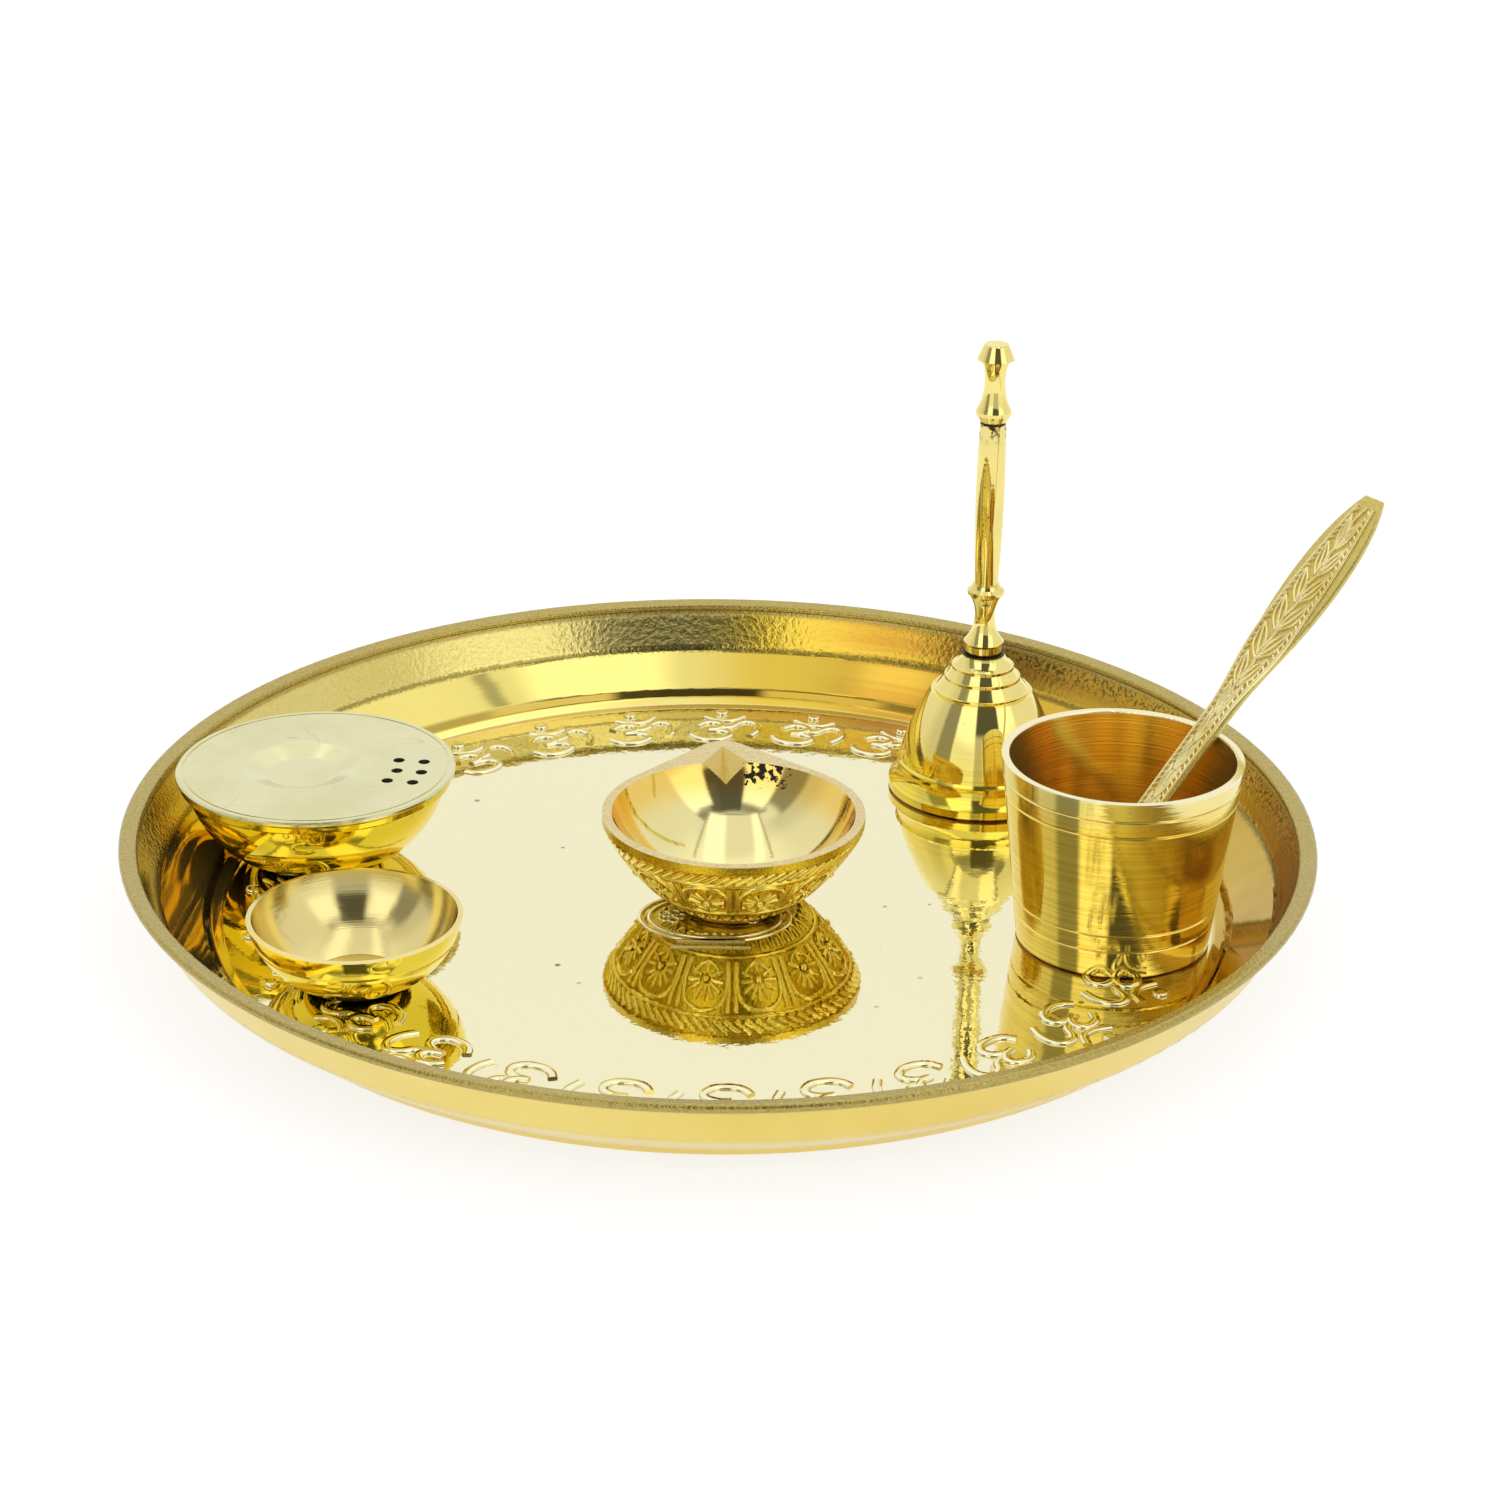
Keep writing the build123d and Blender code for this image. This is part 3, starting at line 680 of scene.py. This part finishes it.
def thali_finish():
    """Mirror floor, golden wall with rough upper part, painted reflections and painted crease shade on the
    wall, matt rim and satin outside.
    """
    floor_pale, speck_brown = (0.88, 0.83, 0.55), (0.25, 0.19, 0.07)
    wall_golden, wall_rough = (0.92, 0.77, 0.22), ((0.60, 0.49, 0.13), (0.90, 0.76, 0.28))
    # Tints that paint reflections onto the wall
    golden_reflection_tint, amber_reflection_tint = (0.82, 0.58, 0.07), (0.60, 0.33, 0.04)
    brown_reflection_tint = (0.50, 0.31, 0.03)
    pit_brown, crease_shade_brown, riser_brown = (0.13, 0.10, 0.035), (0.22, 0.17, 0.03), (0.46, 0.30, 0.04)
    outer_satin, outer_base = ((0.89, 0.72, 0.22), (0.83, 0.64, 0.16)), (0.86, 0.64, 0.10)
    rim_matt = ((0.25, 0.19, 0.05), (0.66, 0.53, 0.16))

    material, tree, shader = new_metal("thali_brass")
    turn = about(tree, (0, 0))
    spun = about(tree, (0, 0), 0.07)
    place = place_on_piece(tree)
    x, y, _ = parts_of(tree, place)
    cast = use(tree, grain, Grain_Scale=1500.0, Cloud_Scale=22.0)
    rub = use(tree, marks, Scale=38.0, Speck_Scale=170.0)
    radius, height = turn["Radius"], turn["Height"]

    # Parts of the tray
    outer = fade(tree, facing_of(tree)["Z"], -0.05, 0.1)
    wall = above(tree, radius, floor_r - 1.0, floor_r + 1.0)
    mirror = rest_of(tree, wall)
    ragged = ragged_height(tree, height, cast["Grain"], 1.6)
    rough_part = above(tree, ragged, wall_crease_h - 0.4, wall_crease_h + 0.8)
    rim_ring = above(tree, radius, rim_inner_r - 0.4, rim_inner_r + 0.4)
    rim = times(tree, rim_ring, above(tree, height, rim_low - 0.5, rim_low + 0.5))
    riser = above(tree, radius, toe_r - 0.3, toe_r + 0.3)
    riser = times(tree, riser, under(tree, radius, riser_r - 0.5, riser_r + 0.3))
    far_side = times(tree, wall, above(tree, y, 20, 70))

    # Painted reflections on the wall (golden, amber and brown tints), dark pits, and painted shade along
    # the crease
    # Painted reflection: golden tint on the middle of the far wall
    golden = times(tree, above(tree, x, -12, 14), far_side)
    streaked = blend_value(tree, band(tree, spun["Rings"], 0.4, 0.6), 0.55, 1.0)
    # Painted reflection: streaked amber tint on the far wall, right of the middle
    amber = times(tree, above(tree, x, 16, 48), far_side, streaked)
    clouded = blend_value(tree, cast["Clouds"], 0.75, 1.0)
    # Painted reflection: clouded brown tint on the right part of the wall
    brown = times(tree, above(tree, x, 84, 116), wall, clouded)
    pitted = band(tree, noise(tree, place, 1100.0, 4.0), 0.5, 0.6)
    pitted = times(tree, pitted, above(tree, x, 35, 95))
    pitted = times(tree, pitted, above(tree, height, wall_crease_h + 2.0, rim_low - 1.0))
    # Painted shade: dark band along the crease under the rough upper wall
    off_crease = off_from(tree, ragged, wall_crease_h * MM)
    crease_shade = times(tree, band(tree, off_crease, 0.2 * MM, 0.8 * MM, 0.75, 0.0), wall)

    colour = blend(tree, wall, floor_pale, wall_golden)
    colour = blend(tree, times(tree, rub["Specks"], mirror), colour, speck_brown)
    colour = blend(tree, rough_part, colour, blend(tree, cast["Grain"], *wall_rough))
    colour = blend(tree, golden, colour, golden_reflection_tint)
    colour = blend(tree, amber, colour, amber_reflection_tint)
    colour = blend(tree, brown, colour, brown_reflection_tint)
    colour = blend(tree, pitted, colour, pit_brown)
    colour = blend(tree, crease_shade, colour, crease_shade_brown)
    colour = blend(tree, times(tree, riser, 0.8), colour, riser_brown)
    outer_colour = blend(tree, cast["Clouds"], *outer_satin)
    outer_colour = blend(tree, under(tree, height, 2.5, 5.0), outer_colour, outer_base)
    colour = blend(tree, outer, colour, outer_colour)
    colour = blend(tree, rim, colour, blend(tree, cast["Grain"], *rim_matt))
    put(shader.inputs["Base Color"], colour)

    rough = blend_value(tree, wall, 0.03, 0.05)
    rough = plus(tree, rough, times(tree, rub["Scratches"], 0.04))
    rough = blend_value(tree, rough_part, rough, blend_value(tree, cast["Grain"], 0.12, 0.24))
    rough = blend_value(tree, outer, rough, blend_value(tree, spun["Rings"], 0.2, 0.3))
    rough = blend_value(tree, rim, rough, blend_value(tree, cast["Grain"], 0.2, 0.36))
    put(shader.inputs["Roughness"], rough)
    lower_wall = minus(tree, wall, rough_part)
    put(shader.inputs["Metallic"], blend_value(tree, lower_wall, 1.0, 0.96))

    peel = times(tree, noise(tree, place, 750.0, 2.0), times(tree, rough_part, 0.9))
    waves = times(tree, noise(tree, place, 340.0, 2.0), times(tree, mirror, 0.18))
    rings = times(tree, spun["Rings"], times(tree, wall, 0.15))
    bump(tree, shader, plus(tree, times(tree, cast["Grain"], rim), peel, waves, rings), 0.12)
    return material


def lid_finish():
    """Satin top with fine rubbing marks, pale."""
    pale, tarnished, scratched = (0.75, 0.72, 0.43), (0.70, 0.66, 0.36), (0.62, 0.55, 0.30)
    material, tree, shader = new_metal("incense_lid_brass")
    rub = use(tree, marks, Scale=70.0, Speck_Scale=300.0)
    cast = use(tree, grain, Grain_Scale=2200.0, Cloud_Scale=60.0)
    colour = blend(tree, cast["Clouds"], pale, tarnished)
    put(shader.inputs["Base Color"], blend(tree, rub["Scratches"], colour, scratched))
    satin = blend_value(tree, cast["Grain"], 0.1, 0.18)
    put(shader.inputs["Roughness"], blend_value(tree, rub["Scratches"], satin, 0.4))
    bump(tree, shader, plus(tree, cast["Grain"], times(tree, rub["Scratches"], -0.6)), 0.015)
    return material


def turned_finish(name, centre, pale, deep, rough, rings):
    """Turned and polished brass: fine rings about the piece's axis, a little tarnish, and a painted contact
    shadow at the foot.
    """
    material, tree, shader = new_metal(name)
    turn = about(tree, centre)
    cast = use(tree, grain, Grain_Scale=1500.0, Cloud_Scale=55.0)
    colour = blend(tree, times(tree, cast["Clouds"], 0.5), pale, deep)
    # Painted contact shadow at the foot
    put(shader.inputs["Base Color"], with_contact_shadow(tree, colour, turn["Height"]))
    put(shader.inputs["Roughness"], blend_value(tree, turn["Rings"], 0.6 * rough, 1.5 * rough))
    bump(tree, shader, turn["Rings"], rings)
    return material


def katori_finish():
    """Satin turned inside, polished golden outside."""
    golden, satin_pale = (0.97, 0.78, 0.09), (0.80, 0.67, 0.28)
    material, tree, shader = new_metal("katori_brass")
    turn = about(tree, katori_at, 2.4)
    inside = band(tree, facing_of(tree)["Z"], 0.0, 0.12)
    colour = blend(tree, inside, golden, satin_pale)
    # Painted contact shadow at the foot
    put(shader.inputs["Base Color"], with_contact_shadow(tree, colour, turn["Height"]))
    satin = blend_value(tree, turn["Rings"], 0.07, 0.13)
    put(shader.inputs["Roughness"], blend_value(tree, inside, 0.06, satin))
    bump(tree, shader, times(tree, turn["Rings"], blend_value(tree, inside, 0.2, 1.0)), 0.02)
    return material


def diya_finish():
    """Polished inside with soot by the beak and a painted amber reflection near its top, rough silvery rim,
    dark cast outside.
    """
    inside_pale, inside_reflected_amber = (0.87, 0.77, 0.36), (0.90, 0.63, 0.15)
    outside_cast = ((0.46, 0.30, 0.015), (0.98, 0.71, 0.06))
    rim_cast = ((0.50, 0.37, 0.12), (0.90, 0.77, 0.42))
    channel_cast = ((0.32, 0.27, 0.09), (0.62, 0.54, 0.24))
    soot_black = (0.03, 0.025, 0.02)
    soot_at = diya_at[0] + 7.6

    material, tree, shader = new_metal("diya_brass")
    turn = about(tree, diya_at, 0.8)
    cast = use(tree, grain, Grain_Scale=1300.0, Cloud_Scale=90.0)
    place = place_on_piece(tree)
    x, y, z = parts_of(tree, place)
    upward = facing_of(tree)["Z"]

    # Parts of the lamp
    outside = fade(tree, upward, 0.0, 0.1)
    rim = times(tree, band(tree, upward, 0.96, 0.99), above(tree, z, diya_top - 0.3, diya_top - 0.1))
    sloping = times(tree, band(tree, upward, 0.74, 0.8), fade(tree, upward, 0.9, 0.96))
    at_beak = above(tree, y, diya_at[1] + 20, diya_at[1] + 21)
    channel = times(tree, sloping, at_beak, above(tree, z, diya_top - 9.0, diya_top - 8.0))
    cast_face = most(tree, rim, channel)

    # Soot, thinner and more broken towards its edge
    soot_x = off_from(tree, x, soot_at * MM)
    soot = times(tree, under(tree, soot_x, 3.5, 7.0), above(tree, z, diya_top - 5.8, diya_top - 2.8))
    thinner = times(tree, rest_of(tree, soot), 0.14)
    flecks = band(tree, minus(tree, noise(tree, place, 650.0, 4.0), thinner), 0.47, 0.51)
    soot = times(tree, band(tree, soot, 0.02, 0.1), flecks)
    soot = times(tree, soot, above(tree, y, diya_at[1] + 15, diya_at[1] + 17))
    soot = times(tree, soot, rest_of(tree, most(tree, outside, cast_face)))

    # Painted reflection: amber towards the top of the polished inside
    reflected_amber_band = above(tree, z, diya_top - 10.0, diya_top - 3.0)
    polished = blend(tree, reflected_amber_band, inside_pale, inside_reflected_amber)
    colour = blend(tree, outside, polished, blend(tree, cast["Grain"], *outside_cast))
    colour = blend(tree, rim, colour, blend(tree, cast["Grain"], *rim_cast))
    colour = blend(tree, channel, colour, blend(tree, cast["Grain"], *channel_cast))
    colour = blend(tree, soot, colour, soot_black)
    # Painted contact shadow at the foot
    put(shader.inputs["Base Color"], with_contact_shadow(tree, colour, z))

    rough = blend_value(tree, outside, blend_value(tree, turn["Rings"], 0.03, 0.1), 0.24)
    rough = blend_value(tree, rim, rough, 0.26)
    rough = blend_value(tree, channel, rough, 0.5)
    put(shader.inputs["Roughness"], plus(tree, rough, times(tree, soot, 0.4)))
    uneven = times(tree, cast["Grain"], most(tree, outside, cast_face))
    bump(tree, shader, plus(tree, uneven, times(tree, turn["Rings"], 0.09)), 0.1)
    return material


def carving_finish(name, pale, deep, rough):
    """Rubbed ridges of the cast and engraved ornament."""
    material, tree, shader = new_metal(name)
    cast = use(tree, grain, Grain_Scale=1800.0, Cloud_Scale=120.0)
    put(shader.inputs["Base Color"], blend(tree, cast["Clouds"], pale, deep))
    put(shader.inputs["Roughness"], blend_value(tree, cast["Grain"], 0.7 * rough, 1.4 * rough))
    bump(tree, shader, cast["Grain"], 0.04)
    return material


def bell_finish():
    """Polished bell with lathe rings, a painted reflection of deeper gold on its lower body, dark seams
    under the handle and under its knob.
    """
    upper_pale, low_reflection_lines = (0.92, 0.78, 0.26), ((0.84, 0.64, 0.06), (0.99, 0.80, 0.10))
    tarnish, grime = (0.74, 0.60, 0.24), (0.05, 0.035, 0.01)

    material, tree, shader = new_metal("bell_brass")
    turn = about(tree, bell_at, 0.6)
    cast = use(tree, grain, Grain_Scale=1200.0, Cloud_Scale=70.0)
    rub = use(tree, marks, Scale=90.0, Speck_Scale=420.0)
    height = turn["Height"]
    ragged = ragged_height(tree, height, cast["Grain"], 0.6)

    # Seams at the handle's foot and under its knob, where the upper one is patchy
    seams = 0.0
    for seam_z, half in ((bell_seat, 0.75), (shaft_top - 0.5, 0.5)):
        off = off_from(tree, ragged, seam_z * MM)
        seams = most(tree, seams, under(tree, off, 0.4 * half, half))
    patches = blend_value(tree, above(tree, height, 60, 62), 1.0, band(tree, cast["Clouds"], 0.2, 0.5))
    patchy = times(tree, seams, patches)
    smudge = above(tree, height, shaft_top - 6.0, shaft_top - 1.5)
    smudge = times(tree, smudge, under(tree, height, shaft_top - 0.3, shaft_top + 0.3))
    flecks = band(tree, noise(tree, place_on_piece(tree), 520.0, 4.0), 0.5, 0.6)
    stains = most(tree, patchy, rub["Specks"], times(tree, smudge, flecks))

    # Painted reflection: deeper, more saturated gold on the lower body, with the real lathe lines in it
    low = under(tree, height, 4.0, 26.0)
    lined = blend(tree, band(tree, turn["Rings"], 0.35, 0.65), *low_reflection_lines)
    colour = blend(tree, low, upper_pale, lined)
    colour = blend(tree, times(tree, cast["Clouds"], 0.35), colour, tarnish)
    # Painted contact shadow at the lip where it meets the floor
    colour = with_contact_shadow(tree, colour, height)
    put(shader.inputs["Base Color"], blend(tree, stains, colour, grime))
    ringed = times(tree, turn["Rings"], low)
    rough = plus(tree, blend_value(tree, ringed, 0.03, 0.12), times(tree, patchy, 0.4))
    put(shader.inputs["Roughness"], rough)
    bump(tree, shader, ringed, 0.01)
    return material


def cup_finish():
    """Golden turned cup: pale lip, a painted highlight band round the upper outside, brown satin inside."""
    outside_lines = ((0.84, 0.62, 0.10), (0.97, 0.76, 0.18))
    inside_lines = ((0.76, 0.51, 0.10), (1.0, 0.78, 0.22))
    upper_pale, lip_pale = (0.88, 0.76, 0.30), (0.90, 0.83, 0.52)

    material, tree, shader = new_metal("cup_brass")
    turn = about(tree, cup_at, 1.6)
    coarse = about(tree, cup_at, 0.6)
    facing = facing_of(tree)
    x, y, z = parts_of(tree, place_on_piece(tree))
    dx = minus(tree, x, cup_at[0] * MM)
    dy = minus(tree, y, cup_at[1] * MM)
    outward = plus(tree, times(tree, dx, facing["X"]), times(tree, dy, facing["Y"]))
    inside = under(tree, outward, -2, 2)
    lip = above(tree, z, cup_top - 0.9, cup_top - 0.2)
    # Painted highlight: the upper outside is coloured paler
    upper = above(tree, z, cup_top - 9.0, cup_top - 2.0)

    worn = blend(tree, band(tree, turn["Rings"], 0.35, 0.65), *inside_lines)
    lined = blend(tree, band(tree, coarse["Rings"], 0.35, 0.65), *outside_lines)
    colour = blend(tree, inside, lined, worn)
    colour = blend(tree, times(tree, upper, rest_of(tree, inside)), colour, upper_pale)
    colour = blend(tree, lip, colour, lip_pale)
    # Painted contact shadow at the foot
    put(shader.inputs["Base Color"], with_contact_shadow(tree, colour, z))
    polished = blend_value(tree, turn["Rings"], 0.03, 0.1)
    satin = blend_value(tree, turn["Rings"], 0.1, 0.2)
    put(shader.inputs["Roughness"], blend_value(tree, inside, polished, satin))
    bump(tree, shader, plus(tree, times(tree, turn["Rings"], 0.6), coarse["Rings"]), 0.02)
    return material


def spoon_finish():
    """Cast spoon with a dull, grainy face."""
    dull, rubbed = (0.48, 0.37, 0.09), (0.88, 0.72, 0.24)
    material, tree, shader = new_metal("spoon_brass")
    cast = use(tree, grain, Grain_Scale=1500.0, Cloud_Scale=110.0)
    put(shader.inputs["Base Color"], blend(tree, cast["Grain"], dull, rubbed))
    put(shader.inputs["Roughness"], blend_value(tree, cast["Grain"], 0.3, 0.45))
    bump(tree, shader, cast["Grain"], 0.1)
    return material


def dress_cad_nodes():
    """Give each CAD node its finish."""
    bell = bell_finish()
    inner = turned_finish("bell_inner_brass", bell_at, (0.74, 0.58, 0.22), (0.50, 0.36, 0.10), 0.2, 0.03)
    golden, deep = (0.91, 0.70, 0.045), (0.87, 0.63, 0.03)
    finishes = {
        "thali": thali_finish(),
        "incense_bowl": turned_finish("incense_bowl_brass", incense_at, golden, deep, 0.05, 0.006),
        "incense_lid": lid_finish(),
        "katori": katori_finish(),
        "diya": diya_finish(),
        "bell_cup": bell,
        "bell_handle_base": bell,
        "bell_handle_shaft": bell,
        "bell_handle_finial": bell,
        "clapper_hook": inner,
        "clapper": inner,
        "cup": cup_finish(),
        "spoon": spoon_finish(),
    }
    for name, material in finishes.items():
        slots = nodes[name].data.materials
        slots.clear()
        slots.append(material)
    return finishes


# Stage
def ground():
    """White paper under the tray."""
    bm = bmesh.new()
    bmesh.ops.create_grid(bm, x_segments=1, y_segments=1, size=paper_half)
    mesh = bpy.data.meshes.new("ground")
    bm.to_mesh(mesh)
    bm.free()
    paper = bpy.data.materials.new("ground_paper")
    paper.use_nodes = True
    tree = paper.node_tree
    shader = tree.nodes["Principled BSDF"]
    shader.inputs["Base Color"].default_value = (paper_base, paper_base, paper_base, 1)
    shader.inputs["Roughness"].default_value = 0.9
    shader.inputs["Emission Color"].default_value = (1, 1, 1, 1)
    path = tree.nodes.new("ShaderNodeLightPath").outputs
    seen = most(tree, path["Is Camera Ray"], path["Is Glossy Ray"], path["Is Transmission Ray"])
    put(shader.inputs["Emission Strength"], times(tree, seen, paper_glow))
    mesh.materials.append(paper)
    sheet = bpy.data.objects.new("ground", mesh)
    bpy.context.scene.collection.objects.link(sheet)


def roof_light(tree, x, y, z, level):
    """The tent's level with the roof's strip lights and dark seams in it."""
    across = sums(tree, "DIVIDE", x, z)
    along = sums(tree, "DIVIDE", y, z)
    high = band(tree, z, *roof_rise)
    behind = times(tree, band(tree, along, roof_front - 0.02, roof_front + 0.04), high)
    behind = times(tree, fade(tree, along, roof_back - 0.1, roof_back), behind)
    for place, half in roof_strips:
        strip = fade(tree, off_from(tree, across, place), half - 0.03, half + 0.05)
        level = blend_value(tree, times(tree, strip, behind), level, roof_strip_level)
    sideways = sums(tree, "ABSOLUTE", across)
    edge = plus(tree, times(tree, along, roof_seam_spread), roof_seam)
    seam = times(tree, fade(tree, off_from(tree, sideways, edge), 0.006, 0.022), behind)
    front = fade(tree, off_from(tree, along, roof_front), 0.01, 0.04)
    front = times(tree, front, fade(tree, sideways, 0.5, 0.6))
    seam = most(tree, seam, times(tree, front, high))
    return blend_value(tree, seam, level, roof_seam_level)


def studio_world():
    """White tent round the tray: panels on the camera's side, the cove behind, and the roof."""
    world = bpy.data.worlds.new("studio")
    world.use_nodes = True
    tree = world.node_tree
    tree.nodes.clear()
    out = tree.nodes.new("ShaderNodeOutputWorld")
    light = tree.nodes.new("ShaderNodeBackground")
    x, y, z = parts_of(tree, tree.nodes.new("ShaderNodeTexCoord").outputs["Generated"])
    turn = sums(tree, "ARCTAN2", x, times(tree, y, -1.0))
    rise = sums(tree, "ARCSINE", z)
    level = tent_level
    for sides, rises, soft, glow in studio_panels:
        inside = 1.0
        for angle, (low, high) in ((turn, sides), (rise, rises)):
            enter = band(tree, angle, math.radians(low - soft), math.radians(low + soft))
            leave = fade(tree, angle, math.radians(high - soft), math.radians(high + soft))
            inside = times(tree, inside, times(tree, enter, leave))
        level = blend_value(tree, inside, level, glow)
    top, roof = [[math.radians(angle) for angle in pair] for pair in (cove_top, cove_roof)]
    cove = blend_value(tree, band(tree, rise, *top), cove_level, cove_top_level)
    cove = blend_value(tree, band(tree, sums(tree, "ABSOLUTE", x), *cove_sides), cove, cove_side_level)
    cove = blend_value(tree, band(tree, rise, *roof), cove, tent_level)
    level = blend_value(tree, band(tree, y, *cove_front), level, cove)
    level = roof_light(tree, x, y, z, level)
    seen = tree.nodes.new("ShaderNodeLightPath").outputs["Is Camera Ray"]
    put(light.inputs["Strength"], blend_value(tree, seen, level, 1.0))
    put(out.inputs["Surface"], light.outputs[0])
    light.inputs["Color"].default_value = (1, 1, 1, 1)
    bpy.context.scene.world = world


def soft_box(name, azimuth, elevation):
    """Soft box that looks at the tray; azimuth is from the camera's side, to the right."""
    data = bpy.data.lights.new(name, "AREA")
    data.shape = "RECTANGLE"
    data.size = lamp_size
    data.size_y = lamp_size
    data.energy = lamp_power
    lamp = bpy.data.objects.new(name, data)
    side = math.radians(azimuth)
    rise = math.radians(elevation)
    way = Vector((math.sin(side) * math.cos(rise), -math.cos(side) * math.cos(rise), math.sin(rise)))
    look = way.to_track_quat("Z", "Y").to_matrix().to_4x4()
    lamp.matrix_world = Matrix.Translation(way * lamp_distance) @ look
    lamp.visible_glossy = False
    bpy.context.scene.collection.objects.link(lamp)


place_camera()
finishes = dress_cad_nodes()
om_ring(finishes["thali"])
water_pot(finishes["thali"])
diya_carving(carving_finish("diya_carving_brass", (1.0, 0.82, 0.18), (0.88, 0.64, 0.08), 0.18))
spoon_engraving(carving_finish("spoon_engraving_brass", (0.97, 0.86, 0.46), (0.84, 0.69, 0.26), 0.25))
ground()
studio_world()
soft_box("key", -30, 55)
soft_box("fill", 35, 50)

bpy.context.scene.view_settings.view_transform = "Standard"
